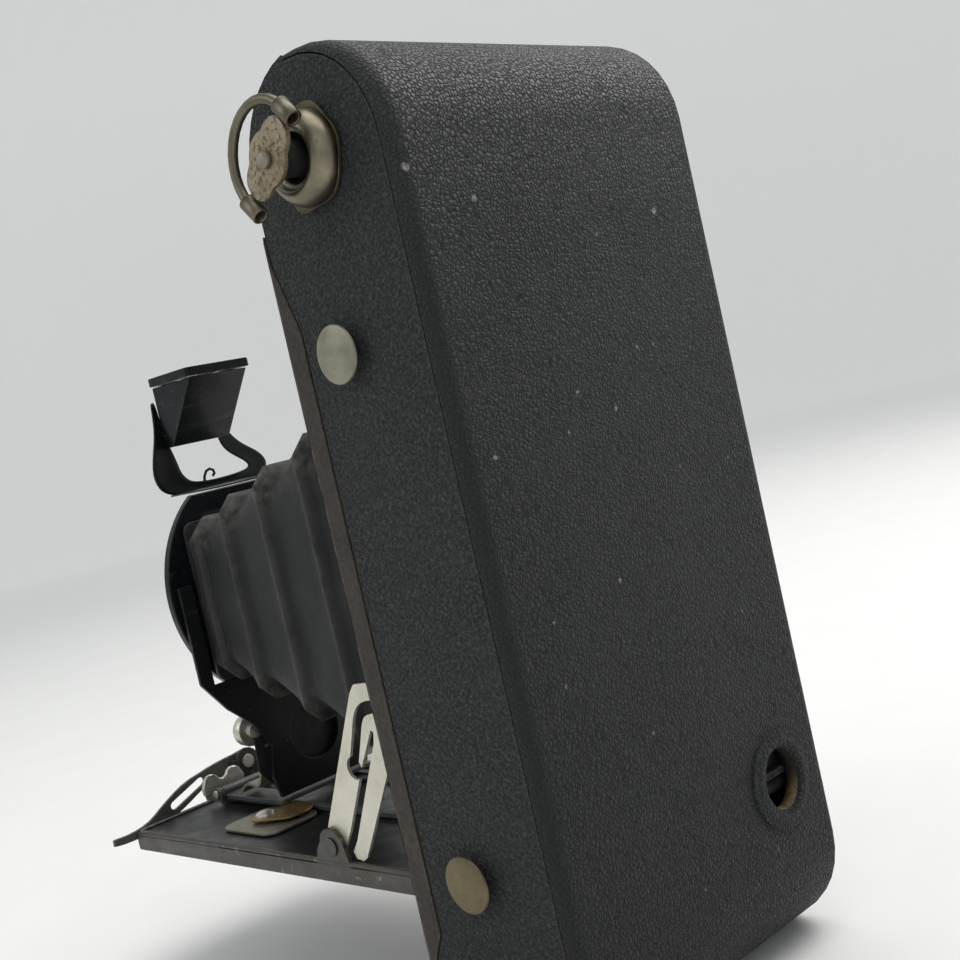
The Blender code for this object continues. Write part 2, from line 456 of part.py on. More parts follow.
web_half = [(15.0, 43.75), (16.4, 50.0), (14.6, 58.0), (18.0, 65.0), (25.0, 71.5), (31.2, 80.0), (31.2, 106.0), (27.2, 106.0), (27.2, 79.0)]
yoke = prism("standard_yoke", [web_half + [(-x, z) for x, z in web_half[::-1]], circle(0, 58.2, 8.0, 24)[::-1]], "XZ", -113.3, -112.2, "standard", GREY)
join(yoke, [turned("yoke_rivet", [(0, -112.8), (1.9, -112.8), (1.9, -113.7), (1.5, -114.3), (0.8, -114.6), (0, -114.65)], "Y", (8.5, 0, 50.0), 14, cutter=True)], "UNION")
prism("bellows_front_frame", [rrect(-25.6, 25.6, 79.2, 122.0, 2.5, 2), rrect(-20.0, 20.0, 85.0, 116.5, 2.0, 2)[::-1]], "XZ", -113.1, -111.9, "standard", BLACKED)
turned("lens_board", [(11.5, -113.75), (DISC_R - 1.0, -113.75), (DISC_R, -114.3), (DISC_R, -115.6), (DISC_R - 0.8, -116.2), (11.5, -116.2)],
       "Y", (0, 0, LENS_Z), 56, "standard", ENAMEL, ring=True)
turned("shutter_housing", [(10.5, -116.5), (23.4, -116.5), (24.0, -117.2), (24.0, -124.2), (23.2, -125.2), (21.0, -125.4), (20.6, -126.3), (10.5, -126.3)], "Y", (0, 0, LENS_Z), 36, "standard", ENAMEL, ring=True)
turned("lens_rim", [(8.2, -120.0), (10.1, -120.0), (10.1, -126.6), (10.9, -126.7), (10.9, -129.6), (9.9, -130.6), (8.9, -130.0), (8.2, -128.4)],
       "Y", (0, 0, LENS_Z), 24, "standard", NICKEL, ring=True)
turned("lens_glass", [(0, -121.3), (7.9, -122.4), (7.9, -126.9), (6.0, -128.2), (3.2, -128.9), (0, -129.2)], "Y", (0, 0, LENS_Z), 24, "standard", GLASS)

spring_mid = smooth_path([(-113.9, 58.5), (-115.6, 57.2), (-118.6, 53.4), (-120.2, 49.0), (-122.6, 46.4), (-126.0, 47.0), (-128.6, 46.6), (-131.4, 44.5)], 2)
prism("clamp_spring", ribbon(spring_mid, 0.75), "YZ", 10.4, 15.6, "standard", NICKEL)
turned("clamp_nut", [(0, -113.7), (2.0, -113.7), (2.0, -115.2), (4.1, -115.6), (4.4, -116.4), (4.2, -118.6), (3.4, -119.6), (0, -120.0)], "Y", (17.5, 0, 63.4), 18, "clamp", NICKEL)

# ---------------------------------------------------------------- finder and its bracket
ledge = [(-24.0, -116.6), (-24.0, -120.0), (-13.0, -131.0), (-8.0, -140.1), (8.0, -140.1), (13.0, -131.0), (24.0, -120.0), (24.0, -116.6)]
hole = [(-15.0, -119.6), (-8.5, -130.5), (-4.0, -134.0), (4.0, -134.0), (8.5, -130.5), (15.0, -119.6)]
bracket = prism("finder_bracket", [ledge, hole[::-1]], "XY", 131.0, 132.0, "standard", ENAMEL)
join(bracket, [
    box("bracket_leg_l", 19.6, 24.0, -117.5, -116.6, 121.6, 131.5, cutter=True),
    box("bracket_leg_r", -24.0, -19.6, -117.5, -116.6, 121.6, 131.5, cutter=True),
    prism("bracket_hook", ribbon(smooth_path([(-117.0, 131.4), (-117.0, 133.4), (-117.6, 134.6), (-118.6, 134.8), (-119.3, 134.1)], 2), 0.8), "YZ", 11.5, 12.9, cutter=True),
    prism("bracket_neck", [(-8.0, 131.4), (8.0, 131.4), (5.6, 138.0), (5.2, 148.6), (-5.2, 148.6), (-5.6, 138.0)], "XZ", -140.1, -139.2, cutter=True),
], "UNION")

side = [(-118.2, 159.9), (-138.3, 159.9), (-138.3, 142.6), (-134.2, 142.6)]
hous = prism("finder_housing", side, "YZ", -9.4, 9.4, "finder", ENAMEL)
inner = [(-120.4, 165.0), (-137.4, 165.0), (-137.4, 144.2), (-134.6, 144.2), (-120.4, 159.4)]
join(hous, [prism("cut_finder", inner, "YZ", -8.6, 8.6, cutter=True),
            prism("cut_finder_front", rrect(-6.6, 6.6, 149.6, 158.6, 1.0, 2), "XZ", -145, -136, cutter=True)])
prism("finder_top_frame", [rrect(-10.4, 10.4, -138.5, -117.3, 0.8, 1), rrect(-7.6, 7.6, -136.6, -120.8, 0.8, 1)[::-1]], "XY", 160.2, 162.6, "finder", ENAMEL)
prism("finder_top_lens", rrect(-7.3, 7.3, -136.3, -121.1, 0.7, 1), "XY", 160.5, 162.0, "finder", GLASS)
prism("finder_front_lens", circle(0, 154.1, 3.9, 20), "XZ", -138.2, -137.0, "finder", GLASS)
prism("finder_mirror", [(-121.6, 159.2), (-134.7, 145.2), (-135.2, 145.6), (-122.1, 159.6)], "YZ", -8.2, 8.2, "finder", MIRROR)

# ---------------------------------------------------------------- shutter controls
lev = [(-15.5 + 3.2 * math.cos(math.radians(a)), LENS_Z + 17 + 3.2 * math.sin(math.radians(a))) for a in range(-60, 181, 40)]
prism("release_lever", capsule(-27.5, LENS_Z + 21.5, -22.0, LENS_Z + 17.5, 1.5, 4), "XZ", -128.2, -127.0, "release", NICKEL)
join(bpy.data.objects["release_lever"], [
    prism("release_arm", capsule(-23.0, LENS_Z + 18.0, -15.5, LENS_Z + 14.0, 1.2, 4), "XZ", -128.0, -127.1, cutter=True)], "UNION")
prism("aperture_pointer", [(-1.6, LENS_Z - 14.0)] + arc(0, LENS_Z - 15.0, 1.9, 130, 50, 3) + [(1.6, LENS_Z - 14.0), (0.5, LENS_Z - 20.5), (-0.5, LENS_Z - 20.5)], "XZ", -127.5, -126.7, "aperture", NICKEL)
prism("speed_pointer", [(-0.5, LENS_Z + 20.5), (0.5, LENS_Z + 20.5), (1.6, LENS_Z + 14.0)] + arc(0, LENS_Z + 15.0, 1.9, -50, -130, 3) + [(-1.6, LENS_Z + 14.0)], "XZ", -127.5, -126.7, "speed", NICKEL)

# ---------------------------------------------------------------- bellows
N = 13


def section(y):
    """Half width, lower and upper height of the bellows' fold line at y."""
    t = (y + 113.0) / 88.0  # 0 at the front, 1 at the mouth of the case
    hw = 25.0 + 10.8 * min(t, 1.0)
    top = 121.6 + 21.4 * t
    low = 79.6 - 13.0 * t
    if t > 1.0:
        k = (t - 1.0) / 0.4148
        top += 6.0 * k
        low -= 10.0 * k
    return hw, low, top


rows_out, rows_in = [], []
for i in range(2 * N + 1):
    y = -111.5 + (11.5 + 111.5) * i / (2 * N)
    hw, low, top = section(y)
    valley = 0.0 if i % 2 == 1 else -3.2
    if i in (0, 2 * N):
        valley = -0.6
    for rows, d in ((rows_out, valley), (rows_in, valley - 1.1)):
        w, lo, hi = hw + d, low - d, top + d
        c = 3.6 if i % 2 == 1 else 1.6
        rows.append([(w, y, hi - c), (w - c, y, hi), (-w + c, y, hi), (-w, y, hi - c), (-w, y, lo + c), (-w + c, y, lo), (w - c, y, lo), (w, y, lo + c)])
loft("bellows", rows_out + rows_in[::-1], "case", BELLOWS, caps=False, closed=True)

# Everything above is drawn from the film datum. The finished part moves so that its origin is the middle of the flat foot.
for obj in bpy.data.objects:
    if obj.parent is None:
        obj.location.y -= FLAT_Y * 0.001
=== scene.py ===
import bpy
import math
import random
from mathutils import Matrix, Vector, noise


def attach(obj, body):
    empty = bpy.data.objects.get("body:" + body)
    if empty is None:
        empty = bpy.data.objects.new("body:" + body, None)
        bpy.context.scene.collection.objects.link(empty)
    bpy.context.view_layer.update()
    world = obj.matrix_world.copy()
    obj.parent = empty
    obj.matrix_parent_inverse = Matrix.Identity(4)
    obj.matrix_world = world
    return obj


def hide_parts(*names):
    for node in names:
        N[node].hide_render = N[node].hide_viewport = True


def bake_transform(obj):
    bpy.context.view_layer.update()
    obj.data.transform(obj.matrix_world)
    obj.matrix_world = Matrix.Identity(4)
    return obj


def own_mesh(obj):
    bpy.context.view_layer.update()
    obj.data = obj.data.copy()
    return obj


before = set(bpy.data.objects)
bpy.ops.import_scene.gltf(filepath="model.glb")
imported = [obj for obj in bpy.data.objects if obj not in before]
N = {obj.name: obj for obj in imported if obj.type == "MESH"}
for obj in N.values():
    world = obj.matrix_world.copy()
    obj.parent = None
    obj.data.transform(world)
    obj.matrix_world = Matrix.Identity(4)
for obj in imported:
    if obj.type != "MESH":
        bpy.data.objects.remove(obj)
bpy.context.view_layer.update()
D = 4.2  # the part's origin lies 4.2 mm in front of the drawing's datum


def mm(x, y, z):
    return Vector((x * 0.001, (y + D) * 0.001, z * 0.001))


# ------------------------------------------------------------------ material nodes
class Mat:
    """A Principled material built from a few short calls."""

    def __init__(self, name):
        self.m = bpy.data.materials.new(name)
        self.m.use_nodes = True
        self.t = self.m.node_tree
        self.bsdf = self.t.nodes["Principled BSDF"]
        self.obj = self.add("ShaderNodeTexCoord").outputs["Object"]

    def add(self, kind, **props):
        n = self.t.nodes.new(kind)
        for k, v in props.items():
            setattr(n, k, v)
        return n

    def link(self, a, b):
        if isinstance(a, (int, float)):
            b.default_value = a
        elif isinstance(a, tuple):
            b.default_value = a if len(a) == 4 or len(b.default_value) == 3 else (*a, 1.0)
        else:
            self.t.links.new(a, b)

    def scaled(self, s, rot=(0, 0, 0)):
        n = self.add("ShaderNodeMapping")
        n.inputs["Scale"].default_value = s if isinstance(s, tuple) else (s, s, s)
        n.inputs["Rotation"].default_value = rot
        self.t.links.new(self.obj, n.inputs["Vector"])
        return n.outputs["Vector"]

    def noise(self, scale, detail=3.0, rough=0.55, vec=None, dist=0.0):
        n = self.add("ShaderNodeTexNoise")
        n.inputs["Scale"].default_value = scale
        n.inputs["Detail"].default_value = detail
        n.inputs["Roughness"].default_value = rough
        n.inputs["Distortion"].default_value = dist
        self.t.links.new(vec or self.obj, n.inputs["Vector"])
        return n.outputs["Fac"]

    def voronoi(self, scale, feature="F1", vec=None, out="Distance", rand=1.0):
        n = self.add("ShaderNodeTexVoronoi", feature=feature)
        n.inputs["Scale"].default_value = scale
        n.inputs["Randomness"].default_value = rand
        self.t.links.new(vec or self.obj, n.inputs["Vector"])
        return n.outputs[out]

    def warped(self, amount, scale):
        """Object coordinates pushed about by noise."""
        n = self.add("ShaderNodeTexNoise")
        n.inputs["Scale"].default_value = scale
        n.inputs["Detail"].default_value = 2.0
        self.t.links.new(self.obj, n.inputs["Vector"])
        s = self.add("ShaderNodeVectorMath", operation="SUBTRACT")
        self.t.links.new(n.outputs["Color"], s.inputs[0])
        s.inputs[1].default_value = (0.5, 0.5, 0.5)
        k = self.add("ShaderNodeVectorMath", operation="SCALE")
        self.t.links.new(s.outputs[0], k.inputs[0])
        k.inputs["Scale"].default_value = amount
        a = self.add("ShaderNodeVectorMath", operation="ADD")
        self.t.links.new(self.obj, a.inputs[0])
        self.t.links.new(k.outputs[0], a.inputs[1])
        return a.outputs[0]

    def ramp(self, fac, stops, ease="LINEAR"):
        n = self.add("ShaderNodeValToRGB")
        r = n.color_ramp
        r.interpolation = ease
        while len(r.elements) > 1:
            r.elements.remove(r.elements[-1])
        for i, (p, c) in enumerate(stops):
            e = r.elements[0] if i == 0 else r.elements.new(p)
            e.position = p
            e.color = (c, c, c, 1) if isinstance(c, (int, float)) else (*c, 1)
        self.link(fac, n.inputs["Fac"])
        return n.outputs["Color"]

    def mix(self, fac, a, b, mode="MIX"):
        n = self.add("ShaderNodeMix", data_type="RGBA", blend_type=mode)
        self.link(fac, n.inputs[0])
        for s, v in ((6, a), (7, b)):
            if isinstance(v, tuple):
                n.inputs[s].default_value = (*v, 1) if len(v) == 3 else v
            else:
                self.t.links.new(v, n.inputs[s])
        return n.outputs[2]

    def math(self, op, a, b=0.0, clamp=False):
        n = self.add("ShaderNodeMath", operation=op)
        n.use_clamp = clamp
        self.link(a, n.inputs[0])
        self.link(b, n.inputs[1])
        return n.outputs[0]

    def sep(self):
        n = self.add("ShaderNodeSeparateXYZ")
        self.t.links.new(self.obj, n.inputs[0])
        return n.outputs

    def band(self, coord, lo, hi, soft):
        """1 between lo and hi along one coordinate, in metres, with soft ends."""
        a = self.math("DIVIDE", self.math("SUBTRACT", coord, lo), soft, True)
        b = self.math("DIVIDE", self.math("SUBTRACT", hi, coord), soft, True)
        return self.math("MULTIPLY", a, b)

    def edges(self, radius=0.0005, lo=0.02, hi=0.25):
        """1 where the surface turns sharply within the radius."""
        bev = self.add("ShaderNodeBevel", samples=4)
        bev.inputs["Radius"].default_value = radius
        geo = self.add("ShaderNodeNewGeometry")
        d = self.add("ShaderNodeVectorMath", operation="DOT_PRODUCT")
        self.t.links.new(bev.outputs[0], d.inputs[0])
        self.t.links.new(geo.outputs["Normal"], d.inputs[1])
        v = self.math("SUBTRACT", 1.0, d.outputs["Value"])
        return self.ramp(v, [(lo, 0.0), (hi, 1.0)])

    def bump(self, height, strength, distance, normal=None):
        n = self.add("ShaderNodeBump")
        n.inputs["Strength"].default_value = strength
        n.inputs["Distance"].default_value = distance
        self.t.links.new(height, n.inputs["Height"])
        if normal is not None:
            self.t.links.new(normal, n.inputs["Normal"])
        return n.outputs[0]

    def set(self, color=None, rough=None, metal=None, normal=None, **const):
        b = self.bsdf.inputs
        for key, v in (("Base Color", color), ("Roughness", rough), ("Metallic", metal), ("Normal", normal)):
            if v is None:
                continue
            if isinstance(v, tuple):
                b[key].default_value = (*v, 1)
            elif isinstance(v, (int, float)):
                b[key].default_value = v
            else:
                self.t.links.new(v, b[key])
        for key, v in const.items():
            b[key.replace("_", " ")].default_value = (*v, 1) if isinstance(v, tuple) else v
        return self.m


def specks(k, scale, size, density):
    """Sparse small dots: a Voronoi cell's centre where the cell's own random value is high."""
    dist = k.voronoi(scale)
    cell = k.add("ShaderNodeTexVoronoi", feature="F1")
    cell.inputs["Scale"].default_value = scale
    k.t.links.new(k.obj, cell.inputs["Vector"])
    pick = k.add("ShaderNodeSeparateColor")
    k.t.links.new(cell.outputs["Color"], pick.inputs[0])
    dot = k.ramp(dist, [(size * 0.55, 1.0), (size, 0.0)])
    chosen = k.math("GREATER_THAN", pick.outputs[0], 1.0 - density)
    return k.math("MULTIPLY", dot, chosen)


def spot(k, x, y, z, r):
    """A soft dot about one point, in mm."""
    s = k.add("ShaderNodeVectorMath", operation="DISTANCE")
    k.t.links.new(k.obj, s.inputs[0])
    s.inputs[1].default_value = mm(x, y, z)
    return k.ramp(k.math("DIVIDE", s.outputs["Value"], r * 0.001), [(0.55, 1.0), (1.0, 0.0)])


def leather_back():
    k = Mat("pebbled_leather")
    w = k.warped(0.0009, 420)
    cells = k.voronoi(1050, "SMOOTH_F1", w)
    crack = k.ramp(k.voronoi(1050, "DISTANCE_TO_EDGE", w), [(0.0, 0.0), (0.2, 0.8), (0.5, 1.0)])
    fine = k.noise(5200, 4, 0.6)
    broad = k.noise(38, 4, 0.6)
    wave = k.noise(14, 2, 0.5)
    h = k.math("ADD", crack, k.math("MULTIPLY", fine, 0.30))
    h = k.math("SUBTRACT", h, k.math("MULTIPLY", cells, 0.35))
    worn = k.ramp(k.noise(90, 5, 0.7), [(0.52, 0.0), (0.78, 1.0)])
    x, y, z = k.sep()
    shaded_lip = k.math("MAXIMUM", k.band(x, 0.0411, 0.06, 0.0004), k.band(x, -0.06, -0.0411, 0.0004))
    base = k.ramp(broad, [(0.3, (0.004, 0.0046, 0.0048)), (0.7, (0.008, 0.009, 0.0093))])
    base = k.mix(k.math("MULTIPLY", crack, 0.75), base, (0.028, 0.0310, 0.0315))
    base = k.mix(k.math("MULTIPLY", worn, 0.12), base, (0.075, 0.077, 0.076))
    # painted highlight: pebble tops along the top bend are lightened to a pale grey, standing in for the overhead
    # light's reflection there
    top = k.ramp(z, [(0.168, 0.0), (0.208, 1.0)])
    base = k.mix(k.math("MULTIPLY", k.math("MULTIPLY", top, crack), 0.40), base, (0.20, 0.202, 0.198))
    # painted shade: the leather is darkened towards the bottom, where less of the overhead light falls
    low = k.ramp(z, [(0.02, 1.0), (0.150, 0.0)])
    base = k.mix(k.math("MULTIPLY", low, 0.75), base, (0.004, 0.0046, 0.0048))
    # painted shade: the cover's rounded side lip is darkened as if in its own shadow
    base = k.mix(k.math("MULTIPLY", shaded_lip, 0.7), base, (0.016, 0.017, 0.018))
    dust = specks(k, 190, 0.12, 0.10)
    dots = dust
    for p in ((42.3, 19.7, 180.6, 1.1), (27.0, 19.7, 173.7, 0.8), (-26.0, 19.7, 167.8, 0.9), (0.1, 19.7, 128.6, 0.6), (31.0, 19.7, 92.0, 0.5), (-33.0, 19.7, 112.0, 0.45)):
        dots = k.math("MAXIMUM", dots, spot(k, *p))
    ragged = k.ramp(k.noise(900, 3, 0.7), [(0.42, 0.0), (0.56, 1.0)])
    base = k.mix(k.math("MULTIPLY", k.math("MULTIPLY", dots, ragged), 0.75), base, (0.42, 0.42, 0.40))
    rough = k.ramp(k.math("ADD", crack, k.math("MULTIPLY", broad, 0.4)), [(0.2, 0.80), (1.3, 0.46)])
    rough = k.mix(shaded_lip, rough, (0.7, 0.7, 0.7))
    n1 = k.bump(wave, 0.5, 0.0016)
    n2 = k.bump(h, 1.0, 0.00042, n1)
    m = k.set(base, rough, 0.0, n2, Sheen_Weight=0.04, Sheen_Roughness=0.45, Sheen_Tint=(0.8, 0.86, 0.9), Specular_IOR_Level=0.34)
    return m


def leather_side():
    k = Mat("fine_leather_cloth")
    v = k.scaled((1.0, 0.72, 1.0), (0.5, 0, 0))
    grain = k.voronoi(1750, "SMOOTH_F1", k.warped(0.0005, 900))
    lines = k.noise(1500, 3, 0.6, v, 0.6)
    fine = k.noise(6000, 3, 0.6)
    broad = k.noise(45, 4, 0.6)
    h = k.math("ADD", k.math("MULTIPLY", grain, 0.6), k.math("ADD", k.math("MULTIPLY", lines, 0.5), k.math("MULTIPLY", fine, 0.25)))
    base = k.ramp(broad, [(0.3, (0.007, 0.008, 0.008)), (0.7, (0.012, 0.0132, 0.0132))])
    base = k.mix(k.ramp(lines, [(0.46, 0.0), (0.66, 0.9)]), base, (0.044, 0.0465, 0.0460))
    scuff = k.ramp(k.noise(110, 6, 0.75), [(0.60, 0.0), (0.74, 1.0)])
    base = k.mix(k.math("MULTIPLY", scuff, 0.12), base, (0.09, 0.09, 0.086))
    base = k.mix(k.math("MULTIPLY", specks(k, 330, 0.14, 0.10), 0.55), base, (0.30, 0.30, 0.29))
    base = k.mix(k.math("MULTIPLY", k.edges(0.0007, 0.02, 0.2), 0.55), base, (0.10, 0.085, 0.072))
    n1 = k.bump(broad, 0.3, 0.0006)
    n2 = k.bump(h, 1.0, 0.00045, n1)
    return k.set(base, k.ramp(lines, [(0.3, 0.82), (0.8, 0.55)]), 0.0, n2, Sheen_Weight=0.04, Sheen_Roughness=0.5, Sheen_Tint=(0.85, 0.9, 0.9), Specular_IOR_Level=0.32)


def leather_bellows():
    k = Mat("bellows_leather")
    w = k.warped(0.0016, 160)
    grain = k.voronoi(1500, "SMOOTH_F1", w)
    creases = k.ramp(k.voronoi(120, "DISTANCE_TO_EDGE", w), [(0.0, 0.0), (0.06, 1.0)])
    cloud = k.noise(60, 5, 0.65, w)
    attr = k.add("ShaderNodeAttribute", attribute_name="ridge")
    ridge = attr.outputs["Fac"]
    base = k.ramp(cloud, [(0.3, (0.0055, 0.0068, 0.0072)), (0.75, (0.0135, 0.0152, 0.0155))])
    patch = k.math("MULTIPLY", k.ramp(k.noise(34, 4, 0.6, w), [(0.5, 0.0), (0.72, 1.0)]), 0.24)
    base = k.mix(patch, base, (0.050, 0.048, 0.043))
    rub = k.math("MULTIPLY", ridge, k.ramp(k.noise(160, 5, 0.7), [(0.34, 0.25), (0.62, 1.0)]))
    base = k.mix(k.math("MULTIPLY", rub, 0.60), base, (0.080, 0.077, 0.069))
    corner = k.add("ShaderNodeAttribute", attribute_name="corner").outputs["Fac"]
    raw = k.math("MULTIPLY", corner, k.ramp(k.noise(240, 5, 0.75), [(0.45, 0.0), (0.62, 1.0)]))
    base = k.mix(k.math("MULTIPLY", raw, 0.62), base, (0.155, 0.140, 0.112))
    h = k.math("ADD", k.math("MULTIPLY", grain, 0.5), k.math("MULTIPLY", creases, 0.4))
    n1 = k.bump(cloud, 0.35, 0.0010)
    n2 = k.bump(h, 0.45, 0.00018, n1)
    return k.set(base, k.ramp(cloud, [(0.3, 0.56), (0.7, 0.74)]), 0.0, n2, Specular_IOR_Level=0.28, Sheen_Weight=0.03, Sheen_Roughness=0.5)


def worn_brown():
    k = Mat("worn_brown_metal")
    broad = k.noise(75, 5, 0.65)
    fine = k.noise(700, 5, 0.7)
    base = k.ramp(broad, [(0.3, (0.026, 0.021, 0.018)), (0.55, (0.043, 0.033, 0.026)), (0.75, (0.060, 0.045, 0.034))])
    base = k.mix(k.ramp(fine, [(0.48, 0.0), (0.7, 0.8)]), base, (0.018, 0.014, 0.012))
    base = k.mix(k.math("MULTIPLY", k.edges(0.0006, 0.03, 0.3), k.ramp(k.noise(220, 4, 0.7), [(0.42, 0.0), (0.6, 0.9)])), base, (0.26, 0.22, 0.18))
    base = k.mix(k.math("MULTIPLY", specks(k, 260, 0.16, 0.22), 0.9), base, (0.26, 0.20, 0.13))
    base = k.mix(k.math("MULTIPLY", specks(k, 430, 0.2, 0.2), 0.9), base, (0.017, 0.014, 0.012))
    rough = k.ramp(fine, [(0.3, 0.42), (0.75, 0.66)])
    n = k.bump(k.math("ADD", k.math("MULTIPLY", fine, 0.6), broad), 0.35, 0.00018)
    return k.set(base, rough, 0.25, n, Specular_IOR_Level=0.4)


def enamel(name="black_enamel", tint=(0.0028, 0.0034, 0.0042), gloss=0.2):
    k = Mat(name)
    broad = k.noise(55, 4, 0.6)
    fine = k.noise(900, 4, 0.7)
    base = k.ramp(broad, [(0.3, tint), (0.75, tuple(c * 2.1 for c in tint))])
    base = k.mix(k.math("MULTIPLY", k.edges(0.0004, 0.04, 0.35), k.ramp(k.noise(260, 4, 0.7), [(0.44, 0.0), (0.62, 0.9)])), base, (0.17, 0.15, 0.12))
    base = k.mix(k.math("MULTIPLY", specks(k, 420, 0.14, 0.12), 0.5), base, (0.16, 0.16, 0.15))
    scr = k.ramp(k.noise(420, 2, 0.5, k.scaled((0.06, 1, 0.5), (0.3, 0.5, 0.8))), [(0.62, 0.0), (0.66, 0.35)])
    base = k.mix(scr, base, (0.05, 0.052, 0.055))
    rough = k.ramp(k.math("ADD", k.math("MULTIPLY", broad, 0.6), k.math("MULTIPLY", fine, 0.4)), [(0.3, gloss), (0.75, gloss + 0.2)])
    n = k.bump(k.math("ADD", k.math("MULTIPLY", fine, 0.25), broad), 0.22, 0.00022)
    return k.set(base, rough, 0.0, n, Coat_Weight=0.12, Coat_Roughness=0.12, Specular_IOR_Level=0.22)


def nickel(name, light=(0.70, 0.675, 0.60), dark=(0.50, 0.47, 0.39), rough0=0.26, rust=0.10, metal=0.85, dirt=0.35):
    k = Mat(name)
    broad = k.noise(85, 5, 0.65)
    fine = k.noise(1300, 4, 0.6)
    brush = k.noise(1100, 3, 0.6, k.scaled((1.0, 0.15, 1.0), (0.6, 0, 0)))
    base = k.ramp(broad, [(0.3, dark), (0.62, light)])
    base = k.mix(k.ramp(k.noise(300, 6, 0.75), [(0.56, 0.0), (0.74, dirt)]), base, (0.20, 0.16, 0.10))
    pits = k.math("MAXIMUM", k.math("MULTIPLY", specks(k, 520, 0.20, rust), 0.9), k.math("MULTIPLY", specks(k, 1150, 0.24, rust), 0.8))
    base = k.mix(pits, base, (0.060, 0.036, 0.018))
    rough = k.ramp(k.math("ADD", k.math("MULTIPLY", brush, 0.5), k.math("MULTIPLY", broad, 0.5)), [(0.3, rough0), (0.7, rough0 + 0.22)])
    rough = k.mix(pits, rough, (0.85, 0.85, 0.85))
    metallic = k.math("SUBTRACT", metal, k.math("MULTIPLY", pits, metal))
    n = k.bump(k.math("SUBTRACT", k.math("ADD", k.math("MULTIPLY", fine, 0.35), k.math("MULTIPLY", brush, 0.25)), pits), 0.3, 0.00008)
    return k.set(base, rough, metallic, n)


def rusty_plate():
    k = Mat("rust_spotted_nickel")
    stain = k.noise(240, 6, 0.75)
    base = k.ramp(k.noise(90, 4, 0.6), [(0.3, (0.20, 0.165, 0.105)), (0.7, (0.33, 0.285, 0.20))])
    blot = k.ramp(k.noise(950, 5, 0.72), [(0.50, 0.0), (0.60, 1.0)])
    base = k.mix(k.math("MULTIPLY", blot, 0.85), base, (0.10, 0.058, 0.028))
    base = k.mix(k.ramp(stain, [(0.52, 0.0), (0.72, 0.6)]), base, (0.17, 0.095, 0.045))
    rough = k.mix(blot, (0.42, 0.42, 0.42), (0.85, 0.85, 0.85))
    met = k.ramp(blot, [(0.0, 0.75), (1.0, 0.1)])
    n = k.bump(k.math("SUBTRACT", k.noise(1500, 3, 0.6), blot), 0.4, 0.00010)
    return k.set(base, rough, met, n)


def brass():
    k = Mat("worn_brass")
    broad = k.noise(110, 5, 0.7)
    base = k.ramp(broad, [(0.3, (0.17, 0.115, 0.045)), (0.6, (0.36, 0.25, 0.10)), (0.8, (0.46, 0.36, 0.18))])
    spots = specks(k, 600, 0.24, 0.3)
    base = k.mix(spots, base, (0.05, 0.04, 0.025))
    n = k.bump(k.noise(1100, 4, 0.6), 0.25, 0.00008)
    return k.set(base, k.ramp(broad, [(0.3, 0.52), (0.7, 0.32)]), 0.8, n)


def grey_paint(name="grey_worn_paint", lo=(0.055, 0.057, 0.055), hi=(0.12, 0.122, 0.116)):
    k = Mat(name)
    broad = k.noise(95, 5, 0.7)
    fine = k.noise(1200, 4, 0.65)
    base = k.ramp(broad, [(0.3, lo), (0.7, hi)])
    base = k.mix(k.math("MULTIPLY", k.edges(0.0005, 0.03, 0.3), 0.7), base, (0.30, 0.285, 0.24))
    base = k.mix(k.math("MULTIPLY", specks(k, 500, 0.2, 0.2), 0.8), base, (0.028, 0.022, 0.016))
    n = k.bump(k.math("ADD", fine, broad), 0.25, 0.00012)
    return k.set(base, k.ramp(fine, [(0.3, 0.38), (0.7, 0.58)]), 0.45, n)


def bed_paint():
    k = Mat("bed_satin_enamel")
    x, y, z = k.sep()
    broad = k.noise(42, 5, 0.65)
    fine = k.noise(1500, 4, 0.7)
    base = k.ramp(broad, [(0.3, (0.008, 0.0085, 0.009)), (0.7, (0.018, 0.019, 0.0195))])
    edge = k.math("MAXIMUM", k.band(x, 0.0368, 0.06, 0.0007), k.band(x, -0.06, -0.0368, 0.0007))
    edge = k.math("MAXIMUM", edge, k.band(y, -0.17, -0.1472, 0.0006))
    worn = k.math("MULTIPLY", edge, k.ramp(k.noise(170, 5, 0.7), [(0.30, 0.35), (0.58, 1.0)]))
    base = k.mix(k.math("MULTIPLY", worn, 0.85), base, (0.062, 0.050, 0.039))
    base = k.mix(k.math("MULTIPLY", k.math("MULTIPLY", edge, k.ramp(k.noise(260, 4, 0.75), [(0.60, 0.0), (0.70, 1.0)])), 0.9), base, (0.34, 0.25, 0.13))
    base = k.mix(k.math("MULTIPLY", specks(k, 380, 0.15, 0.2), 0.6), base, (0.14, 0.135, 0.12))
    streak = k.ramp(k.noise(230, 3, 0.6, k.scaled((1.0, 0.07, 1.0))), [(0.56, 0.0), (0.7, 0.25)])
    base = k.mix(streak, base, (0.085, 0.085, 0.08))
    n = k.bump(k.math("ADD", k.math("MULTIPLY", fine, 0.4), broad), 0.3, 0.00016)
    return k.set(base, k.ramp(k.noise(150, 4, 0.6), [(0.3, 0.34), (0.7, 0.55)]), 0.15, n, Coat_Weight=0.15, Coat_Roughness=0.3)


def raw_edge():
    k = Mat("torn_leather_edge")
    x, y, z = k.sep()
    low = k.ramp(z, [(0.036, 1.0), (0.0395, 0.0)])
    left = k.ramp(k.math("ADD", x, 0.0), [(-0.0300, 0.0), (0.0, 0.0)])
    base = k.ramp(k.noise(700, 4, 0.7), [(0.35, (0.010, 0.009, 0.008)), (0.7, (0.035, 0.030, 0.024))])
    base = k.mix(k.math("MULTIPLY", low, k.ramp(k.noise(380, 4, 0.7), [(0.36, 0.3), (0.55, 1.0)])), base, (0.21, 0.145, 0.080))
    n = k.bump(k.noise(1200, 4, 0.7), 0.6, 0.0002)
    return k.set(base, 0.85, 0.0, n, Specular_IOR_Level=0.2)


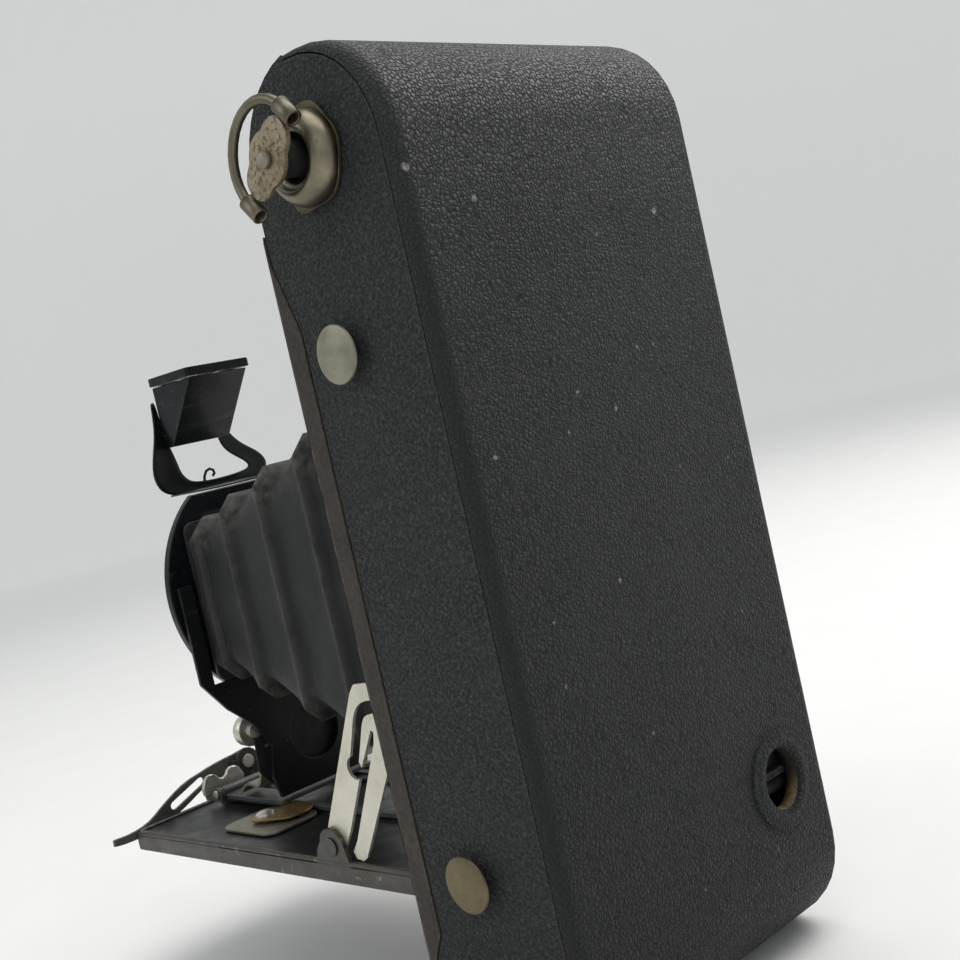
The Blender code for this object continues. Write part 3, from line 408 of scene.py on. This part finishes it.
def blackened():
    k = Mat("blackened_metal")
    base = k.ramp(k.noise(120, 5, 0.65), [(0.3, (0.010, 0.010, 0.011)), (0.7, (0.030, 0.029, 0.028))])
    n = k.bump(k.noise(1600, 4, 0.6), 0.3, 0.0001)
    return k.set(base, k.ramp(k.noise(300, 3, 0.6), [(0.3, 0.5), (0.7, 0.75)]), 0.3, n)


def glass():
    k = Mat("old_glass")
    n = k.bump(k.noise(60, 3, 0.5), 0.06, 0.0002)
    return k.set((0.86, 0.90, 0.92), k.ramp(k.noise(500, 5, 0.7), [(0.5, 0.03), (0.8, 0.14)]), 0.0, n, Transmission_Weight=0.85, IOR=1.5)


def mirror():
    k = Mat("silvered_mirror")
    s = k.ramp(k.noise(260, 5, 0.7), [(0.55, 0.0), (0.75, 1.0)])
    return k.set(k.mix(s, (0.85, 0.86, 0.86), (0.35, 0.33, 0.30)), k.ramp(s, [(0.0, 0.05), (1.0, 0.4)]), 1.0)


MAT = {
    "back": leather_back(), "side": leather_side(), "bellows": leather_bellows(), "brown": worn_brown(), "enamel": enamel(),
    "bracket": enamel("thin_black_enamel", (0.0045, 0.005, 0.005), 0.3),
    "nickel": nickel("old_nickel"), "strut": nickel("cream_nickel", (0.74, 0.71, 0.60), (0.60, 0.57, 0.47), 0.30, 0.13, 0.55, 0.22),
    "stud": nickel("brushed_grey_nickel", (0.33, 0.315, 0.245), (0.19, 0.175, 0.13), 0.36, 0.07, 0.8, 0.45),
    "stud2": nickel("brassy_nickel", (0.215, 0.18, 0.10), (0.11, 0.092, 0.055), 0.38, 0.10, 0.8, 0.5),
    "collar": nickel("tarnished_nickel", (0.27, 0.245, 0.175), (0.12, 0.108, 0.078), 0.24, 0.05, 0.95, 0.35),
    "flange": nickel("green_brown_nickel", (0.13, 0.118, 0.07), (0.055, 0.05, 0.028), 0.42, 0.12, 0.8, 0.6),
    "bail": nickel("dull_nickel_wire", (0.19, 0.17, 0.125), (0.085, 0.075, 0.052), 0.30, 0.05, 0.92, 0.4),
    "plate": rusty_plate(), "brass": brass(), "grey": grey_paint(),
    "olive": grey_paint("olive_grey_metal", (0.065, 0.066, 0.056), (0.13, 0.13, 0.11)),
    "bed": bed_paint(), "rawedge": raw_edge(), "black": blackened(), "glass": glass(), "mirror": mirror(),
}

LOOK = {
    "case_body": "side", "front_frame": "brown", "film_gate": "black", "film_roller_upper": "black", "film_roller_lower": "black",
    "strap_stud_upper": "stud", "strap_stud_lower": "stud2", "winder_flange": "flange", "winder_collar": "collar", "back_cover": "back",
    "window_ring": "back", "back_latch": "nickel", "bed_button": "nickel", "key_shaft": "black", "key_plate": "plate", "key_rivet": "stud",
    "takeup_spool": "black", "key_bail": "bail", "supply_spool": "black", "spool_pin_upper": "nickel", "spool_pin_lower_right": "nickel",
    "spool_pin_lower_left": "nickel", "bed_hinge_pin": "nickel", "bed_tray": "bed", "bed_leather": "side", "tripod_bush": "nickel",
    "bed_rail_left": "grey", "bed_rail_right": "grey", "focus_scale": "nickel", "catch_plate": "stud", "catch_rivet": "nickel",
    "strut_rivet_left": "grey", "strut_rivet_right": "grey", "leg_rivet": "nickel", "focus_catch": "brass", "stand_leg": "olive",
    "strut_left": "strut", "strut_right": "strut", "slide_plate": "grey", "slide_handle": "nickel", "standard_hinge_pin": "nickel",
    "standard_base": "grey", "standard_yoke": "bracket", "bellows_front_frame": "black", "lens_board": "enamel", "shutter_housing": "enamel",
    "lens_rim": "nickel", "lens_glass": "glass", "clamp_spring": "stud", "finder_bracket": "bracket", "clamp_nut": "nickel",
    "finder_housing": "enamel", "finder_top_frame": "enamel", "finder_top_lens": "glass", "finder_front_lens": "glass",
    "finder_mirror": "mirror", "release_lever": "nickel", "aperture_pointer": "nickel", "speed_pointer": "nickel", "bellows": "bellows",
}

BEVEL = {"case_body": 0.0006, "back_cover": 0.0007, "front_frame": 0.0003, "bed_tray": 0.0003, "strap_stud_upper": 0.0004, "strap_stud_lower": 0.0004,
         "finder_housing": 0.00025, "finder_top_frame": 0.0003, "lens_board": 0.0003, "shutter_housing": 0.0003, "strut_left": 0.00018,
         "strut_right": 0.00018, "key_plate": 0.00022, "slide_handle": 0.00025, "standard_yoke": 0.0002, "finder_bracket": 0.0002, "key_bail": 0.0}


def finish_node(name, obj):
    mat = MAT[LOOK[name]]
    if not obj.material_slots:
        obj.data.materials.append(mat)
    for s in obj.material_slots:
        s.material = mat
    me = obj.data
    if me.attributes.get("custom_normal"):
        me.attributes.remove(me.attributes["custom_normal"])
    for p in me.polygons:
        p.use_smooth = True
    w = obj.modifiers.new("Weld", "WELD")
    w.merge_threshold = 0.000002
    width = BEVEL.get(name, 0.00015)
    if width:
        b = obj.modifiers.new("Bevel", "BEVEL")
        b.width = width
        b.segments = 2
        b.limit_method = "ANGLE"
        b.angle_limit = math.radians(32)
        b.harden_normals = True
        b.use_clamp_overlap = True


for name, obj in N.items():
    finish_node(name, obj)


# ------------------------------------------------------------------ own pieces
def mesh_piece(name, verts, faces, mat, smooth=True):
    me = bpy.data.meshes.new(name)
    me.from_pydata([tuple(v) for v in verts], [], faces)
    me.validate()
    me.materials.append(MAT[mat])
    if smooth:
        for p in me.polygons:
            p.use_smooth = True
    o = bpy.data.objects.new(name, me)
    bpy.context.scene.collection.objects.link(o)
    return o


def lathe(name, profile, centre, mat, steps=72, axis="X"):
    """A closed profile of (radius, along) points in mm turned about an axis through centre."""
    verts, faces = [], []
    n = len(profile)
    for i in range(steps):
        a = 2 * math.pi * i / steps
        c, s = math.cos(a), math.sin(a)
        for r, t in profile:
            if axis == "X":
                verts.append(mm(t, centre[0] + r * c, centre[1] + r * s))
            elif axis == "Y":
                verts.append(mm(centre[0] + r * s, t, centre[1] + r * c))
            else:
                verts.append(mm(centre[0] + r * c, centre[1] + r * s, t))
    for i in range(steps):
        j = (i + 1) % steps
        for q in range(n):
            p = (q + 1) % n
            faces.append((i * n + q, j * n + q, j * n + p, i * n + p))
    return mesh_piece(name, verts, faces, mat)


def fix_normals(o):
    import bmesh
    bm = bmesh.new()
    bm.from_mesh(o.data)
    bmesh.ops.remove_doubles(bm, verts=bm.verts, dist=0.000001)
    bmesh.ops.recalc_face_normals(bm, faces=bm.faces)
    bm.to_mesh(o.data)
    bm.free()
    return o


# Bellows: six large pleats, each with a raised ridge and a slack face between.
RIDGES = [-109.0, -90.5, -69.0, -47.0, -27.0, -8.0, 11.0]


def bellows_section(y):
    t = (y + 113.0) / 88.0
    hw = 25.0 + 10.8 * min(t, 1.0)
    top = 121.6 + 21.4 * min(t, 1.0)
    low = 79.6 - 19.5 * min(t, 1.0)
    if t > 1.0:
        k = (t - 1.0) / 0.4148
        top += 6.0 * k
        low -= 3.5 * k
    return hw, low, top


def pleat(y):
    """(inward depth in mm, ridge mark 0..1, slot in the pleat 0..1) at y."""
    if y <= RIDGES[0]:
        return 0.0, 0.4, 0.0
    for a, b in zip(RIDGES, RIDGES[1:]):
        if a <= y <= b:
            p = (y - a) / (b - a)
            d = 2.1 * (min(p / 0.14, 1.0) ** 0.8) * (1.0 - max(0.0, (p - 0.16) / 0.84) ** 1.35)
            m = math.exp(-((min(p, 1 - p) * (b - a)) / 1.1) ** 2)
            return d, m, p
    return 0.0, 0.4, 0.0


def make_bellows(name, y0, y1, rows, closed_front=False):
    per = 15
    verts, ridge, corner = [], [], []
    ys = [y0 + (y1 - y0) * i / rows for i in range(rows + 1)]
    extra = [r + e for r in RIDGES for e in (-0.9, -0.35, 0.0, 0.35, 0.9, 2.0) if y0 < r + e < y1]
    ys = sorted(set(round(v, 3) for v in ys + extra))
    for y in ys:
        hw, low, top = bellows_section(y)
        d, m, p = pleat(y)
        hw, low, top = hw - d * 0.9, low + d, top - d
        c = 4.0 + 1.6 * (1 - m)
        pts = []
        sides = [((hw, top - c), (hw, low + c)), ((hw - c, low), (-hw + c, low)), ((-hw, low + c), (-hw, top - c)), ((-hw + c, top), (hw - c, top))]
        for a, b in sides:
            for i in range(per):
                q = i / (per - 1)
                pts.append((a[0] + (b[0] - a[0]) * q, a[1] + (b[1] - a[1]) * q, min(q, 1 - q)))
        for x, z, e in pts:
            v = Vector((x * 0.09, y * 0.09, z * 0.09))
            w = noise.noise(v * 0.6) * 0.45 * min(1.0, e * 5) * (1.0 - 0.7 * m) + noise.noise(v * 3.1) * 0.05
            belly = 0.9 * math.sin(math.pi * min(1.0, e * 2)) * (1 - m) * 0.5
            cx, cz = 0.0, 0.5 * (low + top)
            out = Vector((x - cx, z - cz))
            if abs(abs(x) - hw) < 0.01:
                nx, nz = (1 if x > 0 else -1), 0
            elif abs(z - low) < 0.01 or abs(z - top) < 0.01:
                nx, nz = 0, (1 if z > cz else -1)
            else:
                nx, nz = out.normalized()
            k = w - belly
            verts.append(mm(min(max(x + nx * k, -36.2), 36.2), y, z + nz * k))
            ridge.append(m)
            corner.append(max(0.0, 1.0 - e * 9) * (0.35 + 0.65 * m) * (1.0 if z > 100 else 0.6))
    n = 4 * per
    faces = []
    for i in range(len(ys) - 1):
        for q in range(n):
            r = (q + 1) % n
            faces.append((i * n + q, i * n + r, (i + 1) * n + r, (i + 1) * n + q))
    o = mesh_piece(name, verts, faces, "bellows")
    a = o.data.attributes.new("ridge", "FLOAT", "POINT")
    a.data.foreach_set("value", ridge)
    b = o.data.attributes.new("corner", "FLOAT", "POINT")
    b.data.foreach_set("value", corner)
    s = o.modifiers.new("Thickness", "SOLIDIFY")
    s.thickness = 0.0006
    s.offset = 0.0
    return o


rear = make_bellows("bellows_folds", -107.0, 11.5, 78)
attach(rear, "case")
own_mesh(rear)
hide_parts("bellows")
front = make_bellows("bellows_front_fold", -111.8, -107.0, 8)
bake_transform(front)

# Winder: pressed collar with a rolled rim, and the rolled lugs that hold the wire bail.
collar = lathe("winder_cup", [(9.45, 45.3), (9.5, 45.7), (9.42, 46.3), (9.15, 47.1), (8.75, 47.9), (8.2, 48.7), (7.6, 49.3), (7.0, 49.65), (6.5, 49.75), (6.15, 49.6),
                              (5.95, 49.3), (5.8, 48.9), (5.5, 48.75), (5.1, 48.6), (4.75, 48.2), (4.6, 47.5), (4.55, 46.4), (4.5, 45.3)],
               (-4.0, 189.0), "collar", 96)
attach(fix_normals(collar), "case")
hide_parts("winder_collar")

KA = math.radians(40.6)


def in_key(u, v):
    return -3.7 + math.cos(KA) * u - math.sin(KA) * v, 189.0 + math.sin(KA) * u + math.cos(KA) * v


def lug(name, u):
    """A short rolled tube at one end of the key plate, around the end of the wire."""
    steps, rings = 28, [(-3.1, 1.75), (-3.25, 1.6), (-3.25, 1.25), (-3.1, 1.12), (1.6, 1.12), (1.75, 1.25), (1.75, 1.6), (1.6, 1.8)]
    verts, faces = [], []
    for i in range(steps):
        a = 2 * math.pi * i / steps
        for v, r in rings:
            y, z = in_key(u + r * math.cos(a), v)
            verts.append(mm(54.6 + r * math.sin(a), y, z))
    n = len(rings)
    for i in range(steps):
        j = (i + 1) % steps
        for q in range(n):
            faces.append((i * n + q, j * n + q, j * n + (q + 1) % n, i * n + (q + 1) % n))
    o = fix_normals(mesh_piece(name, verts, faces, "bail"))
    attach(o, "key")
    return o


lug("key_lug_upper", 10.7)
lug("key_lug_lower", -10.7)


def extrude_outline(name, pts, lo, hi, plane, mat, body, bevel=0.0001, smooth=0):
    """A flat sheet from an outline of points in mm, as a bevelled solid."""
    import bmesh
    bm = bmesh.new()
    lower = []
    for a, b in pts:
        p = {"XZ": (a, lo, b), "XY": (a, b, lo), "YZ": (lo, a, b)}[plane]
        lower.append(bm.verts.new(mm(*p)))
    face = bm.faces.new(lower)
    step = {"XZ": (0, hi - lo, 0), "XY": (0, 0, hi - lo), "YZ": (hi - lo, 0, 0)}[plane]
    up_ = bmesh.ops.extrude_face_region(bm, geom=[face])
    bmesh.ops.translate(bm, vec=Vector(step) * 0.001, verts=[v for v in up_["geom"] if isinstance(v, bmesh.types.BMVert)])
    bmesh.ops.recalc_face_normals(bm, faces=bm.faces)
    me_ = bpy.data.meshes.new(name)
    bm.to_mesh(me_)
    bm.free()
    me_.materials.append(MAT[mat])
    for p in me_.polygons:
        p.use_smooth = True
    o = bpy.data.objects.new(name, me_)
    bpy.context.scene.collection.objects.link(o)
    b = o.modifiers.new("Bevel", "BEVEL")
    b.width, b.segments, b.limit_method, b.angle_limit, b.harden_normals = bevel, 2, "ANGLE", math.radians(35), True
    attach(o, body)
    return o


def arc_pts(cx, cz, r, a0, a1, n):
    return [(cx + r * math.cos(math.radians(a0 + (a1 - a0) * i / n)), cz + r * math.sin(math.radians(a0 + (a1 - a0) * i / n))) for i in range(n + 1)]


# Round board with a flat where the finder's ledge sits.
FLAT = math.degrees(math.asin(26.3 / 33.0))
board = extrude_outline("round_board", arc_pts(0, 102.5, 33.0, 180 - FLAT, 360 + FLAT, 84), -116.2, -113.75, "XZ", "enamel", "standard", 0.0004)
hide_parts("lens_board")
# Dark sheet behind the yoke, which closes its hole: painted shade, standing in for the shadow seen through there.
extrude_outline("yoke_shade_sheet", arc_pts(2, 62, 17, 20, 160, 14) + [(-15, 50), (-12, 45.5), (14, 45.5), (19, 52)], -114.6, -114.2, "XZ", "black", "standard", 0.0001)
# Brass lobe of the focus catch.
lobe = extrude_outline("focus_catch_lobe", arc_pts(23.0, -110.0, 3.9, -140, 30, 10) + arc_pts(18.4, -105.4, 6.4, 40, 240, 16), 41.45, 42.05, "XY", "brass", "catch", 0.00015)
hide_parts("focus_catch")

# Bent sheet arch that carries the finder.
ARCH = [((10.2, 156), (8.8, 156)), ((10.9, 148.2), (8.6, 147.5)), ((13.4, 141.6), (7.6, 142.3)), ((14.9, 136.2), (6.3, 138.2)), ((13.8, 131.6), (5.8, 135.4)),
        ((10.4, 129.2), (4.1, 132.9)), ((4.0, 128.6), (1.8, 131.5)), ((-4.5, 128.4), (-4.4, 131.1)), ((-12.6, 128.5), (-11.5, 131.3)), ((-20.8, 129.2), (-17.0, 132.0)),
        ((-24.2, 132.3), (-17.2, 133.6)), ((-21.9, 136.4), (-14.5, 135.8)), ((-17.0, 139.3), (-11.9, 137.7)), ((-13.4, 143.0), (-9.6, 140.4)), ((-10.9, 148.0), (-8.7, 146.0)), ((-10.3, 156), (-8.8, 156))]
verts, faces = [], []
for i, (o_, i_) in enumerate(ARCH):
    dip = -139.7 + 0.5 * math.sin(i * 0.9)
    verts += [mm(o_[0], dip, o_[1]), mm((o_[0] + i_[0]) / 2, dip - 0.25, (o_[1] + i_[1]) / 2), mm(i_[0], dip, i_[1])]
for i in range(len(ARCH) - 1):
    for q in (0, 1):
        faces.append((3 * i + q, 3 * i + q + 1, 3 * i + q + 4, 3 * i + q + 3))
arch = mesh_piece("finder_arch", verts, faces, "bracket")
sub = arch.modifiers.new("Smooth", "SUBSURF")
sub.levels = sub.render_levels = 2
sol = arch.modifiers.new("Sheet", "SOLIDIFY")
sol.thickness = 0.0005
sol.offset = 0.0
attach(arch, "standard")
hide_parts("finder_bracket")
extrude_outline("finder_ledge", [(-11.5, -114.6), (-12.0, -131.0), (-20.5, -139.0), (-18.0, -140.0), (10.5, -140.0), (11.5, -138.0), (11.0, -114.6)], 128.95, 129.4, "XY", "bracket", "standard", 0.0001)


def wire(name, pts, radius, mat, body, sides=10):
    """A round bar along points in mm, capped at both ends."""
    cu = bpy.data.curves.new(name, "CURVE")
    cu.dimensions = "3D"
    cu.bevel_depth = radius * 0.001
    cu.bevel_resolution = 3
    cu.use_fill_caps = True
    sp = cu.splines.new("POLY")
    sp.points.add(len(pts) - 1)
    for p, q in zip(sp.points, pts):
        p.co = (*mm(*q), 1)
    cu.materials.append(MAT[mat])
    o = bpy.data.objects.new(name, cu)
    bpy.context.scene.collection.objects.link(o)
    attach(o, body)
    return o


# Little curled hook under the finder.
wire("finder_hook", [(-1.0, -139.4, 130.9), (-1.4, -139.4, 132.6), (-2.3, -139.4, 133.9), (-3.6, -139.4, 134.4), (-4.7, -139.4, 133.8), (-4.9, -139.4, 132.8), (-4.1, -139.4, 132.2)], 0.42, "bracket", "standard")

# Rolled rim around the bed's three free edges.
RX, RY = 37.85, -152.2
rim_pts = [(RX, -29.5, 39.75)] + [(RX, -29.5 - i * 7.5, 39.75) for i in range(1, 16)]
rim_pts += [(RX - 2.2 + 2.2 * math.cos(a), RY + 2.2 - 2.2 * math.sin(a), 39.75) for a in [math.pi / 2 * i / 6 for i in range(7)]]
rim_pts += [(x, RY, 39.75) for x in (30, 20, 12)]
wire("bed_rim_left", rim_pts, 0.72, "bed", "bed")
wire("bed_rim_right", [(-a, b, c) for a, b, c in rim_pts], 0.72, "bed", "bed")

# Embossed leather around the red window, over its seat.
verts, faces, tone = [], [], []
steps = 80
for i in range(steps):
    a = 2 * math.pi * i / steps
    ca, sa = math.cos(a), math.sin(a)
    jag = 0.16 * noise.noise(Vector((ca * 2.4, sa * 2.4, 0.3))) + 0.08 * noise.noise(Vector((ca * 7, sa * 7, 1.3)))
    for f, y in ((0.0, 16.9), (0.02, 18.2), (0.06, 19.4), (0.20, 19.98), (0.38, 20.14), (0.56, 20.05), (0.72, 19.84), (0.80, 19.74), (0.88, 19.78), (0.97, 19.86), (1.0, 19.72), (1.0, 19.3)):
        rx = (5.95 + jag) * (1 - f) + 10.75 * f
        rz = (6.95 + jag) * (1 - f) + 10.75 * f
        verts.append(mm(-27.7 + rx * ca, y, 40.1 + rz * sa))
m_ = 12
for i in range(steps):
    j = (i + 1) % steps
    for q in range(m_ - 1):
        faces.append((i * m_ + q, i * m_ + q + 1, j * m_ + q + 1, j * m_ + q))
ring = mesh_piece("window_leather", verts, faces, "back")
ring.data.materials.append(MAT["rawedge"])
for p in ring.data.polygons:
    c = p.center
    if c.y < (19.45 + D) * 0.001:
        p.material_index = 1
sol = ring.modifiers.new("Sheet", "SOLIDIFY")
sol.thickness = 0.0004
sol.offset = -1.0
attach(ring, "back")
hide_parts("window_ring")

# ------------------------------------------------------------------ camera, floor, light
scene = bpy.context.scene
cam = bpy.data.cameras.new("camera")
cam.sensor_width = 36.0
cam.lens = 51.82
cam.clip_start = 0.01
cam.clip_end = 20.0
eye = bpy.data.objects.new("camera", cam)
scene.collection.objects.link(eye)
look = Vector((-0.682, -0.729, -0.056)).normalized()
up = Vector((-0.199, 0.111, 0.974))
up = (up - look * up.dot(look)).normalized()
right = look.cross(up).normalized()
m = Matrix((right, up, -look)).transposed().to_4x4()
m.translation = mm(214.8, 204.8, 136.3)
eye.matrix_world = m
scene.camera = eye

fl = Mat("paper_floor")
fl_n = fl.noise(30, 3, 0.5)
fl.set(fl.ramp(fl_n, [(0.3, (0.80, 0.80, 0.785)), (0.7, (0.82, 0.82, 0.805))]), 0.85, 0.0, fl.bump(fl.noise(900, 3, 0.6), 0.05, 0.0001))
far = fl.add("ShaderNodeVectorMath", operation="LENGTH")
fl.t.links.new(fl.obj, far.inputs[0])
glow = fl.ramp(fl.math("DIVIDE", far.outputs["Value"], 4.0), [(0.07, 0.0), (0.16, 0.02), (0.35, 0.07), (0.6, 0.19), (0.9, 0.24)])
fl.t.links.new(glow, fl.bsdf.inputs["Emission Color"])
fl.bsdf.inputs["Emission Strength"].default_value = 1.0
verts, faces = [], []
prof = [(-6.0, 0.0), (-3.0, 0.0), (-2.2, 0.0)] + [(2.2 + 1.2 * math.sin(math.radians(a)), 1.2 - 1.2 * math.cos(math.radians(a))) for a in range(0, 91, 6)] + [(3.4, 5.0)]
fwd = Vector((look.x, look.y, 0)).normalized()
side = Vector((-fwd.y, fwd.x, 0))
for s in (-8.0, 8.0):
    for a, h in prof:
        p = fwd * a + side * s
        verts.append((p.x, p.y, h))
k = len(prof)
for i in range(k - 1):
    faces.append((i, i + 1, k + i + 1, k + i))
me = bpy.data.meshes.new("floor")
me.from_pydata(verts, [], faces)
for p in me.polygons:
    p.use_smooth = True
me.materials.append(fl.m)
floor = bpy.data.objects.new("floor", me)
scene.collection.objects.link(floor)

world = bpy.data.worlds.new("studio")
scene.world = world
world.use_nodes = True
bg = world.node_tree.nodes["Background"]
bg.inputs["Color"].default_value = (0.93, 0.97, 1.0, 1)
bg.inputs["Strength"].default_value = 0.40


def area(name, loc, target, size, power, color=(1, 1, 1)):
    li = bpy.data.lights.new(name, "AREA")
    li.shape = "RECTANGLE"
    li.size, li.size_y = size
    li.energy = power
    li.color = color
    o = bpy.data.objects.new(name, li)
    scene.collection.objects.link(o)
    o.location = loc
    o.rotation_euler = (Vector(target) - Vector(loc)).to_track_quat("-Z", "Y").to_euler()
    return o


area("overhead", (-0.2, 0.2, 1.15), (0, -0.02, 0.1), (1.2, 0.9), 8.0, (1.0, 0.985, 0.96))
area("sky", (-0.95, 0.12, 1.05), (0, 0, 0.15), (0.75, 0.75), 7.0, (1.0, 0.99, 0.97))
area("window", (0.9, -0.55, 0.75), (0, 0, 0.1), (0.8, 0.8), 3.0, (0.95, 0.98, 1.0))
area("fill", (0.55, 1.0, 0.55), (0, 0, 0.1), (0.9, 0.9), 1.2)

scene.view_settings.view_transform = "Standard"

bpy.context.view_layer.update()
